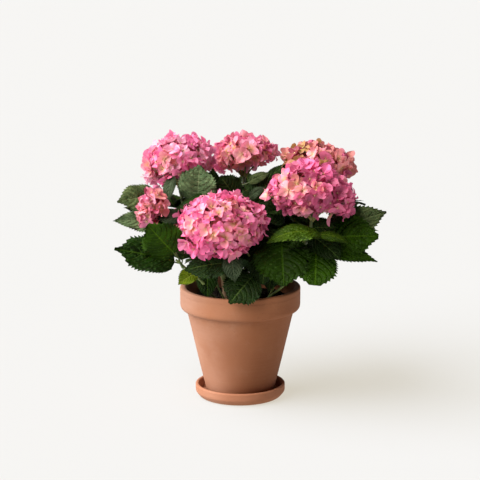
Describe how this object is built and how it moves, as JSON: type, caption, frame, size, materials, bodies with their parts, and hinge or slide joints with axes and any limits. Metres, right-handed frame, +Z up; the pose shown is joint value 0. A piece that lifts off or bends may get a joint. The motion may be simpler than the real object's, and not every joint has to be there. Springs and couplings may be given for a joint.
{
  "type": "potted hydrangea shrub",
  "caption": "Potted mophead hydrangea: leafy canes with round pink blooms rise from soil in a tapered collared terracotta pot on a matching saucer.",
  "frame": {"origin": "centre of the saucer's flat underside, on the floor", "axes": "+Z up, +X to the right and -Y towards the front, where the largest low bloom hangs over the rim"},
  "size_m": [0.4946, 0.3875, 0.4787],
  "materials": {
    "terracotta": "matte",
    "soil": "matte",
    "bark": "matte",
    "green_stem": "satin",
    "foliage": "satin",
    "petals": "matte"
  },
  "bodies": {
    "root": {"bloom_front": "petals", "bloom_rear_left": "petals", "bloom_rear_right": "petals", "bloom_right": "petals", "bloom_small_left": "petals", "bloom_upper_back": "petals", "bloom_upper_left": "petals", "bloom_upper_right": "petals", "cane_front": "bark", "cane_rear_left": "bark", "cane_rear_right": "bark", "cane_right": "bark", "cane_small_left": "bark", "cane_upper_back": "bark", "cane_upper_left": "bark", "cane_upper_right": "bark", "leaves_centre_right": "foliage", "leaves_core_left": "foliage", "leaves_core_right": "foliage", "leaves_front_right": "foliage", "leaves_left_back": "foliage", "leaves_left_front": "foliage", "leaves_left_high": "foliage", "leaves_left_low": "foliage", "leaves_left_mid": "foliage", "leaves_pot_left": "foliage", "leaves_rear_left_high": "foliage", "leaves_rear_left_low": "foliage", "leaves_rear_low": "foliage", "leaves_rear_mid": "foliage", "leaves_rear_right_high": "foliage", "leaves_rear_right_low": "foliage", "leaves_right_back": "foliage", "leaves_right_front": "foliage", "leaves_right_high": "foliage", "leaves_right_low": "foliage", "leaves_right_mid": "foliage", "leaves_right_rim": "foliage", "leaves_rim_front": "foliage", "leaves_rim_left": "foliage", "leaves_upper_left": "foliage", "leaves_upper_mid": "foliage", "pot": "terracotta", "potting_soil": "soil", "saucer": "terracotta", "shoot_front_right": "green_stem", "shoot_left_back": "green_stem", "shoot_left_low": "green_stem", "shoot_pot_left": "green_stem", "shoot_rear_left_low": "green_stem", "shoot_rear_low": "green_stem", "shoot_rear_mid": "green_stem", "shoot_rear_right_low": "green_stem", "shoot_right_back": "green_stem", "shoot_right_high": "green_stem", "shoot_right_low": "green_stem", "shoot_right_mid": "green_stem", "shoot_right_rim": "green_stem", "shoot_rim_front": "green_stem", "shoot_upper_mid": "green_stem"}
  },
  "joints": []
}
